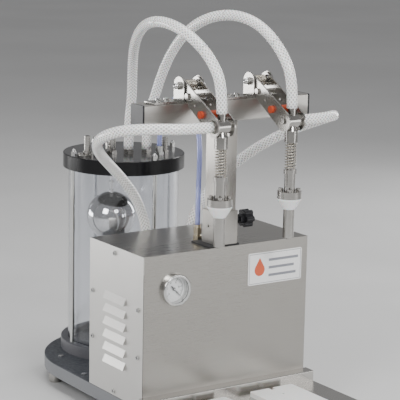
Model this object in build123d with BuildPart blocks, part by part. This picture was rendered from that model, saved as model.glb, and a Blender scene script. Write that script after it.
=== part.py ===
"""Two-spout bench vacuum bottle filler, in millimetres, +Z up, front towards -Y.

The origin is on the bench, under the middle of the machine.
"""

import os
from math import cos, radians, sin, tan

from build123d import *

os.makedirs("parts", exist_ok=True)

# Base plate and feet
HALF_W = 150.0
FOOT_H = 22.0
FOOT_R = 11.0
BASE_T = 21.0
BASE_TOP = FOOT_H + BASE_T
BASE_FRONT = -278.5
BASE_ARC_Y = 130.0
FEET = [(-127, 173), (127, 173), (-130, -250), (130, -250)]
BASE_SCREWS = [(-121, 165), (121, 165), (-137, 62), (137, 62)]

# Sheet steel housing
SHEET = 1.5
FRONT = -131.0
DEPTH = 154.0
BACK = FRONT + DEPTH
TOP = 274.5
PANEL_Z = BASE_TOP + 18.1
COVER_SCREWS = [(-51, 264.7), (13, 193.5), (13, 121), (-118.6, 192.5), (-118.6, 120), (-51, 50)]
LOUVRE_TOPS = [202 - 20 * i for i in range(6)]

# Tray and bottle pads
TRAY_HALF_W = 155.0
TRAY_RISER = -151.0
TRAY_FRONT = -280.0
TRAY_TOP = BASE_TOP + SHEET
PAD_SIZE = (80.0, 100.0, 7.0)

# Filling heads
SPREAD = 62.5
NOZZLE_Y = -196.0
HEAD_Z = 470.0
PIVOT_Y = -111.0
PIVOT_Z = 519.5
PLATE_IN = 12.5
PLATE_OUT = 15.0
EAR_IN = 15.6
EAR_OUT = 18.0
BLOCK_R = 10.4
CAP_Z = 437.5
COLLAR_Z = 397.5
RING_Z = 354.5
TIP_Z = 294.8
SLEEVE_R = 8.25
RUN = 0.05

# Square tube of the post and the crossbar
TUBE = 33.0
WALL = 2.0
POST_Y = -107.5
POST_FOOT = 165.0
BAR_Z = 463.0
BAR_TOP = BAR_Z + TUBE
SOCKET_W = 39.0
SOCKET_TOP = 327.0
PAD_T = 2.0
KNOB_Z = 309.0

# Vacuum gauge in the front panel
GAUGE_X = -94.3
GAUGE_Z = 219.8
BEZEL_R = 24.1

# Overflow vessel
VESSEL_Y = 173.0
RING_R = 102.0
RING_TOP = BASE_TOP + 19.0
TUBE_R = 90.5
TUBE_T = 4.5
LID_R = 99.6
LID_Z = 349.5
LID_TOP = 372.5
ROD_PCR = 95.5
FLOAT_XY = (-28.0, 164.0)
FLOAT_R = 40.0
FLOAT_Z = 270.0
LID_PORT = (-74.0, 165.0)
BARBS = [(-1.0, 157.0), (27.0, 146.5)]
PUSH_IN = (26.0, 106.0)
RELIEF = (49.0, 125.0)
BARB_TOP = 379.0

# Services
PORT_XY = (-16.0, -71.0)
PORT_TOP = 298.5
MOTOR_Y = -50.0
MOTOR_Z = 84.0
MOTOR_R = 35.0
POWER = (90.0, 95.0)
ROCKER_Z = POWER[1] + 13.0
MANIFOLD_Y = 40.0
MANIFOLD_BARBS = [-27.0, 30.0]
MANIFOLD_TOP = 90.0

# Hoses: outside and inside radii
HOSE_R = 8.0
HOSE_BORE = 5.0
STUB_R = 4.9
BLUE_R = 4.0
BLUE_BORE = 2.75


def bottom_plane(z):
    """A horizontal sketch plane at height z."""
    return Plane.XY.offset(z)


# ---------------------------------------------------------------- base

with BuildPart() as base_plate:
    with BuildSketch(bottom_plane(FOOT_H)):
        with BuildLine():
            Polyline(
                (-HALF_W, BASE_ARC_Y),
                (-HALF_W, BASE_FRONT),
                (HALF_W, BASE_FRONT),
                (HALF_W, BASE_ARC_Y),
            )
            ThreePointArc((HALF_W, BASE_ARC_Y), (0, BASE_ARC_Y + HALF_W), (-HALF_W, BASE_ARC_Y))
        make_face()
    extrude(amount=BASE_T)
    chamfer(base_plate.faces().sort_by(Axis.Z)[-1].edges(), 0.8)
    with Locations(*[(x, y, BASE_TOP) for x, y in BASE_SCREWS]):
        Hole(2.6, BASE_T)
base_plate.part.label = "base_plate"
export_step(base_plate.part, "parts/base_plate.step")

with BuildPart() as base_feet:
    with BuildSketch(bottom_plane(0)):
        with Locations(*FEET):
            Circle(FOOT_R)
    extrude(amount=FOOT_H)
    chamfer(base_feet.faces().filter_by(Axis.Z).group_by(Axis.Z)[0].edges(), 1)
base_feet.part.label = "base_feet"
export_step(base_feet.part, "parts/base_feet.step")

with BuildPart() as drip_tray:
    with BuildSketch(Plane.YZ.offset(-TRAY_HALF_W)):
        with BuildLine():
            Polyline(
                (FRONT + 10, PANEL_Z),
                (TRAY_RISER, PANEL_Z),
                (TRAY_RISER, TRAY_TOP),
                (TRAY_FRONT, TRAY_TOP),
                (TRAY_FRONT, BASE_TOP - 12),
                (BASE_FRONT, BASE_TOP - 12),
                (BASE_FRONT, BASE_TOP),
                (TRAY_RISER + SHEET, BASE_TOP),
                (TRAY_RISER + SHEET, PANEL_Z - SHEET),
                (FRONT + 10, PANEL_Z - SHEET),
                close=True,
            )
        make_face()
    extrude(amount=2 * TRAY_HALF_W)
    fillet(drip_tray.edges().filter_by(Axis.X).group_by(Axis.Z)[-1].sort_by(Axis.Y)[0], 1.4)
    fillet(drip_tray.edges().filter_by(Axis.X).group_by(Axis.Y)[0].sort_by(Axis.Z)[-1], 1.4)
    # the flange narrows where it runs in under the front panel
    with BuildSketch(bottom_plane(PANEL_Z - SHEET)):
        with Locations((-TRAY_HALF_W, FRONT + 5), (TRAY_HALF_W, FRONT + 5)):
            Rectangle(2 * (TRAY_HALF_W - HALF_W + 3), 10.4)
    extrude(amount=SHEET, mode=Mode.SUBTRACT)
drip_tray.part.label = "drip_tray"
export_step(drip_tray.part, "parts/drip_tray.step")

with BuildPart() as bottle_pads:
    with BuildSketch(bottom_plane(TRAY_TOP)):
        with Locations((-SPREAD, NOZZLE_Y - 18), (SPREAD, NOZZLE_Y - 18)):
            RectangleRounded(PAD_SIZE[0], PAD_SIZE[1], 4)
        back = NOZZLE_Y - 18 + PAD_SIZE[1] / 2
        with Locations((-SPREAD, back - 4), (SPREAD, back - 4)):
            Rectangle(8, 10, mode=Mode.SUBTRACT)
        with Locations((-SPREAD, NOZZLE_Y), (SPREAD, NOZZLE_Y)):
            Circle(2.5, mode=Mode.SUBTRACT)
    extrude(amount=PAD_SIZE[2])
bottle_pads.part.label = "bottle_pads"
export_step(bottle_pads.part, "parts/bottle_pads.step")

# ------------------------------------------------------------- housing

with BuildPart() as housing_shell:
    with BuildSketch(bottom_plane(BASE_TOP)):
        with Locations((SHEET / 2, FRONT + DEPTH / 2)):
            Rectangle(2 * HALF_W - SHEET, DEPTH)
    extrude(amount=TOP - BASE_TOP)
    with BuildSketch(bottom_plane(BASE_TOP)):
        with Locations((-SHEET / 2, FRONT + DEPTH / 2)):
            Rectangle(2 * HALF_W - SHEET, DEPTH - 2 * SHEET)
    extrude(amount=TOP - BASE_TOP - SHEET, mode=Mode.SUBTRACT)
    # a narrow return round the open left side takes the cover's screws
    with BuildSketch(Plane.YZ.offset(-HALF_W + SHEET)):
        with Locations((FRONT + DEPTH / 2, (BASE_TOP + TOP) / 2)):
            Rectangle(DEPTH - SHEET, TOP - BASE_TOP - SHEET)
            Rectangle(DEPTH - 40, TOP - BASE_TOP - 32, mode=Mode.SUBTRACT)
    extrude(amount=SHEET)
    with BuildSketch(Plane.XZ.offset(-FRONT)):
        with Locations((0, (BASE_TOP + PANEL_Z) / 2)):
            Rectangle(2 * (HALF_W - SHEET), PANEL_Z - BASE_TOP)
        with Locations((GAUGE_X, GAUGE_Z)):
            Circle(22)
    extrude(amount=-12, mode=Mode.SUBTRACT)
    with BuildSketch(bottom_plane(TOP)):
        with Locations((0, POST_Y)):
            Rectangle(TUBE + 3, TUBE + 3)
        with Locations(PORT_XY):
            Circle(5)
    extrude(amount=-5, mode=Mode.SUBTRACT)
    with BuildSketch(Plane.XZ.offset(-BACK)):
        with Locations(POWER):
            Rectangle(28, 50)
    extrude(amount=5, mode=Mode.SUBTRACT)
    with BuildSketch(Plane.YZ.offset(-HALF_W)):
        with Locations(*COVER_SCREWS):
            Circle(1.8)
    extrude(amount=5, mode=Mode.SUBTRACT)
housing_shell.part.label = "housing_shell"
export_step(housing_shell.part, "parts/housing_shell.step")

with BuildPart() as side_cover:
    with BuildSketch(Plane.YZ.offset(-HALF_W)):
        with Locations((FRONT + DEPTH / 2, (BASE_TOP + TOP) / 2)):
            Rectangle(DEPTH, TOP - BASE_TOP)
        with Locations(*COVER_SCREWS):
            Circle(1.8, mode=Mode.SUBTRACT)
    extrude(amount=SHEET)
    # each louvre is a hood pressed outwards, open along its lower edge
    for top in LOUVRE_TOPS:
        with BuildSketch(Plane.XZ.offset(24)):
            with BuildLine():
                Polyline(
                    (-HALF_W, top),
                    (-HALF_W - 5, top - 11),
                    (-HALF_W, top - 11),
                    close=True,
                )
            make_face()
        extrude(amount=60)
        with BuildSketch(Plane.XZ.offset(25)):
            with BuildLine():
                Polyline(
                    (-HALF_W + SHEET, top - 2.2),
                    (-HALF_W, top - 2.2),
                    (-HALF_W - 4, top - 11),
                    (-HALF_W + SHEET, top - 11),
                    close=True,
                )
            make_face()
        extrude(amount=58, mode=Mode.SUBTRACT)
side_cover.part.label = "side_cover"
export_step(side_cover.part, "parts/side_cover.step")

with BuildPart() as housing_screws:
    for y, z in COVER_SCREWS:
        with BuildSketch(Plane.YZ.offset(-HALF_W - 2.2)):
            with Locations((y, z)):
                Circle(3.5)
        extrude(amount=2.2)
        with BuildSketch(Plane.YZ.offset(-HALF_W)):
            with Locations((y, z)):
                Circle(1.7)
        extrude(amount=6)
    for x, y in BASE_SCREWS:
        with BuildSketch(bottom_plane(BASE_TOP)):
            with Locations((x, y)):
                Circle(4.5)
        extrude(amount=1.6)
        with BuildSketch(bottom_plane(BASE_TOP)):
            with Locations((x, y)):
                Circle(2.5)
        extrude(amount=-BASE_T + 2)
housing_screws.part.label = "housing_screws"
export_step(housing_screws.part, "parts/housing_screws.step")

with BuildPart() as name_plate:
    with BuildSketch(Plane.XZ.offset(-FRONT)):
        with Locations((88.3, 233.1)):
            RectangleRounded(101, 50, 3)
    extrude(amount=0.8)
name_plate.part.label = "name_plate"
export_step(name_plate.part, "parts/name_plate.step")

# --------------------------------------------------------------- gauge

GAUGE_PLANE = Plane(origin=(GAUGE_X, FRONT, GAUGE_Z), x_dir=(1, 0, 0), z_dir=(0, -1, 0))

with BuildPart() as gauge_case:
    with BuildSketch(GAUGE_PLANE):
        Circle(BEZEL_R)
    extrude(amount=8)
    fillet(gauge_case.faces().sort_by(Axis.Y)[0].edges(), 2)
    with BuildSketch(GAUGE_PLANE):
        Circle(21.8)
    extrude(amount=-28)
    with BuildSketch(GAUGE_PLANE.offset(-28)):
        Circle(5)
    extrude(amount=-16)
    with BuildSketch(GAUGE_PLANE.offset(8)):
        Circle(20)
    extrude(amount=-14, mode=Mode.SUBTRACT)
    with BuildSketch(GAUGE_PLANE.offset(4.4)):
        Circle(21)
    extrude(amount=1.6, mode=Mode.SUBTRACT)
gauge_case.part.label = "gauge_case"
export_step(gauge_case.part, "parts/gauge_case.step")

with BuildPart() as gauge_dial:
    with BuildSketch(GAUGE_PLANE.offset(-6)):
        Circle(19.9)
    extrude(amount=1)
    with BuildSketch(GAUGE_PLANE.offset(-5)):
        Circle(0.8)
    extrude(amount=5)
gauge_dial.part.label = "gauge_dial"
export_step(gauge_dial.part, "parts/gauge_dial.step")

with BuildPart() as gauge_lens:
    with BuildSketch(GAUGE_PLANE.offset(4.5)):
        Circle(20.9)
    extrude(amount=1.4)
gauge_lens.part.label = "gauge_lens"
export_step(gauge_lens.part, "parts/gauge_lens.step")

NEEDLE_PLANE = Plane(
    origin=(GAUGE_X, FRONT + 3, GAUGE_Z),
    x_dir=(cos(radians(-46)), 0, sin(radians(-46))),
    z_dir=(0, -1, 0),
)

with BuildPart() as gauge_needle:
    with BuildSketch(NEEDLE_PLANE):
        Circle(2.4)
        with BuildLine():
            Polyline((-6.5, -0.9), (-6.5, 0.9), (17, 0.25), (17, -0.25), close=True)
        make_face()
        Circle(0.85, mode=Mode.SUBTRACT)
    extrude(amount=0.7)
gauge_needle.part.label = "gauge_needle"
export_step(gauge_needle.part, "parts/gauge_needle.step")

# ------------------------------------------------- socket, post and bar

with BuildPart() as socket_pad:
    with BuildSketch(bottom_plane(TOP)):
        with Locations((-5, POST_Y + 4)):
            RectangleRounded(56, 49, 2)
        with Locations((0, POST_Y)):
            Rectangle(TUBE + 3, TUBE + 3, mode=Mode.SUBTRACT)
    extrude(amount=PAD_T)
socket_pad.part.label = "socket_pad"
export_step(socket_pad.part, "parts/socket_pad.step")

with BuildPart() as post_socket:
    with BuildSketch(bottom_plane(TOP + PAD_T)):
        with Locations((0, POST_Y)):
            RectangleRounded(SOCKET_W, SOCKET_W, 1.5)
            Rectangle(TUBE + 2 * RUN, TUBE + 2 * RUN, mode=Mode.SUBTRACT)
    extrude(amount=SOCKET_TOP - TOP - PAD_T)
    # threaded boss for the clamp stud, and a sight hole opposite
    with BuildSketch(Plane.YZ.offset(SOCKET_W / 2)):
        with Locations((POST_Y, KNOB_Z)):
            Circle(7.5)
    extrude(amount=5)
    with BuildSketch(Plane.YZ.offset(TUBE / 2)):
        with Locations((POST_Y, KNOB_Z)):
            Circle(4 + RUN)
    extrude(amount=12, mode=Mode.SUBTRACT)
    with BuildSketch(Plane.YZ.offset(-SOCKET_W / 2)):
        with Locations((POST_Y + 2.2, 303)):
            Circle(2)
    extrude(amount=3.5, mode=Mode.SUBTRACT)
post_socket.part.label = "post_socket"
export_step(post_socket.part, "parts/post_socket.step")

with BuildPart() as clamp_knob:
    with BuildSketch(Plane.YZ.offset(TUBE / 2 + 0.4)):
        with Locations((POST_Y, KNOB_Z)):
            Circle(4)
    extrude(amount=26)
    with BuildSketch(Plane.YZ.offset(34)):
        with Locations((POST_Y, KNOB_Z)):
            Circle(7)
    extrude(amount=8)
    with BuildSketch(Plane.YZ.offset(41)):
        with Locations((POST_Y, KNOB_Z)):
            Circle(11)
            with PolarLocations(10, 6):
                Circle(4.2)
    extrude(amount=14)
clamp_knob.part.label = "clamp_knob"
export_step(clamp_knob.part, "parts/clamp_knob.step")

with BuildPart() as post:
    with BuildSketch(bottom_plane(POST_FOOT)):
        with Locations((0, POST_Y)):
            Rectangle(TUBE, TUBE)
            Rectangle(TUBE - 2 * WALL, TUBE - 2 * WALL, mode=Mode.SUBTRACT)
    extrude(amount=BAR_Z - POST_FOOT)
    chamfer(post.faces().sort_by(Axis.Z)[0].outer_wire().edges(), 0.5)
post.part.label = "post"
export_step(post.part, "parts/post.step")

BAR_HALF = HALF_W - 3

with BuildPart() as crossbar:
    with BuildSketch(Plane.YZ.offset(-BAR_HALF)):
        with Locations((POST_Y, BAR_Z + TUBE / 2)):
            RectangleRounded(TUBE, TUBE, 2)
            RectangleRounded(TUBE - 2 * WALL, TUBE - 2 * WALL, 1, mode=Mode.SUBTRACT)
    extrude(amount=2 * BAR_HALF)
crossbar.part.label = "crossbar"
export_step(crossbar.part, "parts/crossbar.step")

with BuildPart() as bar_end_caps:
    for side in (-1, 1):
        with BuildSketch(Plane.YZ.offset(side * BAR_HALF)):
            with Locations((POST_Y, BAR_Z + TUBE / 2)):
                RectangleRounded(TUBE, TUBE, 2)
        extrude(amount=side * 3)
        with BuildSketch(Plane.YZ.offset(side * BAR_HALF)):
            with Locations((POST_Y, BAR_Z + TUBE / 2)):
                RectangleRounded(TUBE - 2 * WALL - 0.2, TUBE - 2 * WALL - 0.2, 1)
        extrude(amount=-side * 10)
bar_end_caps.part.label = "bar_end_caps"
export_step(bar_end_caps.part, "parts/bar_end_caps.step")

# ---------------------------------------------- brackets on the crossbar

EAR_DEPTH = 27.0

with BuildPart() as arm_brackets:
    for x0 in (-SPREAD, SPREAD):
        with BuildSketch(bottom_plane(BAR_TOP)):
            with Locations((x0 - 26, PIVOT_Y)):
                RectangleRounded(88, EAR_DEPTH, 2)
            with Locations((x0, PIVOT_Y - EAR_DEPTH / 2)):
                Rectangle(2 * EAR_IN, 19, mode=Mode.SUBTRACT)
            with Locations((x0 - 54, PIVOT_Y), (x0 - 40, PIVOT_Y)):
                Circle(2.6, mode=Mode.SUBTRACT)
        extrude(amount=3)
        for x in (x0 - EAR_OUT, x0 + EAR_IN):
            with BuildSketch(Plane.YZ.offset(x)):
                with Locations((PIVOT_Y, (BAR_TOP + PIVOT_Z) / 2)):
                    Rectangle(EAR_DEPTH, PIVOT_Z - BAR_TOP)
                with Locations((PIVOT_Y, PIVOT_Z)):
                    Circle(EAR_DEPTH / 2)
                    Circle(3 + RUN, mode=Mode.SUBTRACT)
            extrude(amount=EAR_OUT - EAR_IN)
arm_brackets.part.label = "arm_brackets"
export_step(arm_brackets.part, "parts/arm_brackets.step")

with BuildPart() as bracket_fasteners:
    for x0 in (-SPREAD, SPREAD):
        # pivot bolt with a dome nut at each end
        with BuildSketch(Plane.YZ.offset(x0 - EAR_OUT - 1)):
            with Locations((PIVOT_Y, PIVOT_Z)):
                Circle(3)
        extrude(amount=2 * EAR_OUT + 2)
        for side in (-1, 1):
            with BuildSketch(Plane.YZ.offset(x0 + side * EAR_OUT)):
                with Locations((PIVOT_Y, PIVOT_Z)):
                    RegularPolygon(6.2, 6)
            extrude(amount=side * 4.5)
            with Locations((x0 + side * (EAR_OUT + 4.5), PIVOT_Y, PIVOT_Z)):
                Sphere(4.9)
        with BuildSketch(bottom_plane(BAR_TOP + 3)):
            with Locations((x0 - 54, PIVOT_Y), (x0 - 40, PIVOT_Y)):
                Circle(5)
        extrude(amount=1)
        with BuildSketch(bottom_plane(BAR_TOP + 4)):
            with Locations((x0 - 54, PIVOT_Y), (x0 - 40, PIVOT_Y)):
                Circle(4)
        extrude(amount=3)
        with BuildSketch(bottom_plane(BAR_TOP)):
            with Locations((x0 - 54, PIVOT_Y), (x0 - 40, PIVOT_Y)):
                Circle(2.5)
        extrude(amount=3)
bracket_fasteners.part.label = "bracket_fasteners"
export_step(bracket_fasteners.part, "parts/bracket_fasteners.step")

# ------------------------------------------------------ filling heads

ARM_PIN = (-130.5, 506.3)
ARM_HOLE = (-148.8, 494.8)
BUMPER = (-167.5, 484.0)
COIL_WIRE = 0.9
SPRING_WIRE = 0.8


def arm_outline(hose_hole):
    """Side view of one arm plate, from the bracket pivot to the head pivot."""
    with Locations((PIVOT_Y, PIVOT_Z)):
        Circle(12)
    with Locations((NOZZLE_Y, HEAD_Z)):
        Circle(15)
    make_hull()
    with Locations((PIVOT_Y, PIVOT_Z)):
        Circle(3 + RUN, mode=Mode.SUBTRACT)
    with Locations((NOZZLE_Y, HEAD_Z)):
        Circle(hose_hole, mode=Mode.SUBTRACT)
    with Locations(ARM_HOLE):
        Circle(2.2, mode=Mode.SUBTRACT)
    with Locations(BUMPER):
        Circle(5.6, mode=Mode.SUBTRACT)


for side_name, side in (("left", -1), ("right", 1)):
    x0 = side * SPREAD

    with BuildPart() as arm:
        with BuildSketch(Plane.YZ.offset(x0 - PLATE_OUT)):
            arm_outline(6.0 if side < 0 else 3.0 + RUN)
        extrude(amount=PLATE_OUT - PLATE_IN)
        with BuildSketch(Plane.YZ.offset(x0 + PLATE_IN)):
            arm_outline(6.0 if side > 0 else 3.0 + RUN)
        extrude(amount=PLATE_OUT - PLATE_IN)
        with BuildSketch(Plane.YZ.offset(x0 - PLATE_IN)):
            with Locations(ARM_PIN):
                Circle(3.5)
        extrude(amount=2 * PLATE_IN)
        for end in (-1, 1):
            with BuildSketch(Plane.YZ.offset(x0 + end * PLATE_OUT)):
                with Locations(ARM_PIN):
                    Circle(4.4)
            extrude(amount=end * 3)
    arm.part.label = f"arm_{side_name}"
    export_step(arm.part, f"parts/arm_{side_name}.step")

    with BuildPart() as bumper:
        with BuildSketch(Plane.YZ.offset(x0 - PLATE_OUT - 4)):
            with Locations(BUMPER):
                Circle(5.5)
        extrude(amount=2 * PLATE_OUT + 8)
    bumper.part.label = f"arm_bumper_{side_name}"
    export_step(bumper.part, f"parts/arm_bumper_{side_name}.step")

    with BuildPart() as coil:
        with BuildLine() as coil_path:
            Helix(2.5, 20, 7.6, center=(x0 - 10, PIVOT_Y, PIVOT_Z), direction=(1, 0, 0))
        start = Plane(coil_path.line @ 0, z_dir=coil_path.line % 0)
        with BuildSketch(start):
            Circle(COIL_WIRE)
        sweep(path=coil_path.line, is_frenet=True)
    coil.part.label = f"arm_spring_{side_name}"
    export_step(coil.part, f"parts/arm_spring_{side_name}.step")

    with BuildPart() as head:
        with BuildSketch(Plane.YZ.offset(x0 - PLATE_IN + 0.2)):
            with Locations((NOZZLE_Y, HEAD_Z)):
                Circle(BLOCK_R)
        extrude(amount=2 * PLATE_IN - 0.4)
        # domed cap over the spring
        with BuildSketch(bottom_plane(CAP_Z)):
            with Locations((x0, NOZZLE_Y)):
                Circle(9.8)
        extrude(amount=18)
        chamfer(head.faces().sort_by(Axis.Z)[0].edges(), 1)
        with BuildSketch(bottom_plane(CAP_Z + 18)):
            with Locations((x0, NOZZLE_Y)):
                Circle(9.8)
        extrude(amount=8, taper=18)
        # vacuum hose tail on top
        with BuildSketch(bottom_plane(HEAD_Z)):
            with Locations((x0, NOZZLE_Y)):
                Circle(6.5)
        extrude(amount=18.5)
        with BuildSketch(bottom_plane(HEAD_Z + 18.5)):
            with Locations((x0, NOZZLE_Y)):
                Circle(STUB_R)
        extrude(amount=14)
        # product hose tail out through one arm plate, pivot screw in the other
        with BuildSketch(Plane.YZ.offset(x0 + side * (PLATE_IN - 1))):
            with Locations((NOZZLE_Y, HEAD_Z)):
                Circle(6 - RUN)
        extrude(amount=side * 6)
        with BuildSketch(Plane.YZ.offset(x0 + side * (PLATE_OUT + 0.2))):
            with Locations((NOZZLE_Y, HEAD_Z)):
                Circle(9.6)
        extrude(amount=side * 2.8)
        with BuildSketch(Plane.YZ.offset(x0 + side * (PLATE_OUT + 3))):
            with Locations((NOZZLE_Y, HEAD_Z)):
                Circle(STUB_R)
        extrude(amount=side * 14)
        with BuildSketch(Plane.YZ.offset(x0 - side * (PLATE_IN - 1))):
            with Locations((NOZZLE_Y, HEAD_Z)):
                Circle(3)
        extrude(amount=-side * 6)
        with BuildSketch(Plane.YZ.offset(x0 - side * (PLATE_OUT + 0.2))):
            with Locations((NOZZLE_Y, HEAD_Z)):
                Circle(4.5)
        extrude(amount=-side * 2.6)
        # passages: vacuum straight up, product out of the side
        with BuildSketch(bottom_plane(CAP_Z)):
            with Locations((x0, NOZZLE_Y)):
                Circle(5)
        extrude(amount=15, mode=Mode.SUBTRACT)
        with BuildSketch(bottom_plane(CAP_Z)):
            with Locations((x0, NOZZLE_Y)):
                Circle(3)
        extrude(amount=70, mode=Mode.SUBTRACT)
        with BuildSketch(Plane.YZ.offset(x0)):
            with Locations((NOZZLE_Y, HEAD_Z)):
                Circle(2.6)
        extrude(amount=side * 40, mode=Mode.SUBTRACT)
    head.part.label = f"head_block_{side_name}"
    export_step(head.part, f"parts/head_block_{side_name}.step")

    with BuildPart() as inner_tube:
        with BuildSketch(bottom_plane(TIP_Z + 1)):
            with Locations((x0, NOZZLE_Y)):
                Circle(5)
                Circle(4, mode=Mode.SUBTRACT)
        extrude(amount=CAP_Z + 15 - TIP_Z - 1)
        with BuildSketch(bottom_plane(TIP_Z - 3)):
            with Locations((x0, NOZZLE_Y)):
                Circle(2.5)
                Circle(1.8, mode=Mode.SUBTRACT)
        extrude(amount=CAP_Z + 15 - TIP_Z + 3)
    inner_tube.part.label = f"inner_tube_{side_name}"
    export_step(inner_tube.part, f"parts/inner_tube_{side_name}.step")

    with BuildPart() as spring:
        with BuildLine() as spring_path:
            Helix(4.2, CAP_Z - COLLAR_Z - 2, 7.9, center=(x0, NOZZLE_Y, COLLAR_Z + 1))
        start = Plane(spring_path.line @ 0, z_dir=spring_path.line % 0)
        with BuildSketch(start):
            Circle(SPRING_WIRE)
        sweep(path=spring_path.line, is_frenet=True)
    spring.part.label = f"nozzle_spring_{side_name}"
    export_step(spring.part, f"parts/nozzle_spring_{side_name}.step")

    with BuildPart() as sleeve:
        with BuildSketch(bottom_plane(TIP_Z)):
            with Locations((x0, NOZZLE_Y)):
                Circle(SLEEVE_R)
        extrude(amount=COLLAR_Z - TIP_Z)
        with BuildSketch(bottom_plane(COLLAR_Z)):
            with Locations((x0, NOZZLE_Y)):
                Circle(9.8)
        extrude(amount=-6)
        with BuildSketch(bottom_plane(TIP_Z + 8)):
            with Locations((x0, NOZZLE_Y)):
                Circle(6.5)
        extrude(amount=COLLAR_Z - TIP_Z - 16, mode=Mode.SUBTRACT)
        with BuildSketch(bottom_plane(TIP_Z)):
            with Locations((x0, NOZZLE_Y)):
                Circle(5 + RUN)
        extrude(amount=COLLAR_Z - TIP_Z, mode=Mode.SUBTRACT)
        # clamp ring with four screws that holds the sealing cone
        with BuildSketch(bottom_plane(RING_Z)):
            with Locations((x0, NOZZLE_Y)):
                Circle(18.3)
                Circle(SLEEVE_R - 0.5, mode=Mode.SUBTRACT)
        extrude(amount=10.5)
        with BuildSketch(bottom_plane(RING_Z + 10.5)):
            with Locations((x0, NOZZLE_Y)):
                with PolarLocations(13, 4, start_angle=-34):
                    Circle(3.4)
        extrude(amount=4.5)
    sleeve.part.label = f"nozzle_sleeve_{side_name}"
    export_step(sleeve.part, f"parts/nozzle_sleeve_{side_name}.step")

    with BuildPart() as cone:
        with BuildSketch(Plane.XZ.offset(-NOZZLE_Y)):
            with BuildLine():
                Polyline(
                    (x0 + SLEEVE_R + RUN, RING_Z),
                    (x0 + 18, RING_Z),
                    (x0 + 18, RING_Z - 2),
                    (x0 + 9.2, RING_Z - 16.5),
                    (x0 + SLEEVE_R + RUN, RING_Z - 16.5),
                    close=True,
                )
            make_face()
        revolve(axis=Axis((x0, NOZZLE_Y, 0), (0, 0, 1)))
    cone.part.label = f"sealing_cone_{side_name}"
    export_step(cone.part, f"parts/sealing_cone_{side_name}.step")

# ------------------------------------------------------ overflow vessel

with BuildPart() as vessel_ring:
    with BuildSketch(bottom_plane(BASE_TOP)):
        with Locations((0, VESSEL_Y)):
            Circle(RING_R)
    extrude(amount=RING_TOP - BASE_TOP)
    chamfer(vessel_ring.faces().sort_by(Axis.Z)[-1].edges(), 0.8)
    with BuildSketch(bottom_plane(RING_TOP)):
        with Locations((0, VESSEL_Y)):
            Circle(84)
    extrude(amount=-9, mode=Mode.SUBTRACT)
    with BuildSketch(bottom_plane(RING_TOP)):
        with Locations((0, VESSEL_Y)):
            Circle(TUBE_R + 0.1)
            Circle(TUBE_R - TUBE_T - 0.1, mode=Mode.SUBTRACT)
    extrude(amount=-4, mode=Mode.SUBTRACT)
    with BuildSketch(bottom_plane(RING_TOP)):
        with Locations((0, VESSEL_Y)):
            with PolarLocations(ROD_PCR, 4):
                Circle(2.6)
    extrude(amount=-12, mode=Mode.SUBTRACT)
vessel_ring.part.label = "vessel_ring"
export_step(vessel_ring.part, "parts/vessel_ring.step")

SEAL_T = 1.0
GROOVE_TOP = LID_Z + 4.5

with BuildPart() as vessel_tube:
    with BuildSketch(bottom_plane(RING_TOP - 4 + SEAL_T)):
        with Locations((0, VESSEL_Y)):
            Circle(TUBE_R)
            Circle(TUBE_R - TUBE_T, mode=Mode.SUBTRACT)
    extrude(amount=GROOVE_TOP - RING_TOP + 4 - 2 * SEAL_T)
vessel_tube.part.label = "vessel_tube"
export_step(vessel_tube.part, "parts/vessel_tube.step")

with BuildPart() as vessel_seals:
    for z in (RING_TOP - 4, GROOVE_TOP - SEAL_T):
        with BuildSketch(bottom_plane(z)):
            with Locations((0, VESSEL_Y)):
                Circle(TUBE_R)
                Circle(TUBE_R - TUBE_T, mode=Mode.SUBTRACT)
        extrude(amount=SEAL_T)
vessel_seals.part.label = "vessel_seals"
export_step(vessel_seals.part, "parts/vessel_seals.step")

with BuildPart() as vessel_lid:
    with BuildSketch(bottom_plane(LID_Z)):
        with Locations((0, VESSEL_Y)):
            Circle(LID_R)
            with PolarLocations(ROD_PCR, 4):
                Circle(2.6, mode=Mode.SUBTRACT)
        with Locations(FLOAT_XY, LID_PORT, *BARBS, PUSH_IN, RELIEF):
            Circle(6.1, mode=Mode.SUBTRACT)
    extrude(amount=LID_TOP - LID_Z)
    chamfer(vessel_lid.faces().sort_by(Axis.Z)[-1].outer_wire().edges(), 1)
    with BuildSketch(bottom_plane(LID_Z)):
        with Locations((0, VESSEL_Y)):
            Circle(TUBE_R + 0.1)
            Circle(TUBE_R - TUBE_T - 0.1, mode=Mode.SUBTRACT)
    extrude(amount=4.5, mode=Mode.SUBTRACT)
vessel_lid.part.label = "vessel_lid"
export_step(vessel_lid.part, "parts/vessel_lid.step")

with BuildPart() as tie_rods:
    with BuildSketch(bottom_plane(RING_TOP - 11)):
        with Locations((0, VESSEL_Y)):
            with PolarLocations(ROD_PCR, 4):
                Circle(2.5)
    extrude(amount=LID_TOP - RING_TOP + 11)
    with BuildSketch(bottom_plane(RING_TOP)):
        with Locations((0, VESSEL_Y)):
            with PolarLocations(ROD_PCR, 4):
                Circle(3.6)
    extrude(amount=LID_Z - RING_TOP)
    with BuildSketch(bottom_plane(LID_TOP)):
        with Locations((0, VESSEL_Y)):
            with PolarLocations(ROD_PCR - 1, 4):
                RegularPolygon(4.8, 6)
    extrude(amount=7)
    with BuildSketch(bottom_plane(LID_TOP + 7)):
        with Locations((0, VESSEL_Y)):
            with PolarLocations(ROD_PCR - 1, 4):
                Circle(3.8)
    extrude(amount=4.5, taper=25)
tie_rods.part.label = "tie_rods"
export_step(tie_rods.part, "parts/tie_rods.step")

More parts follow.
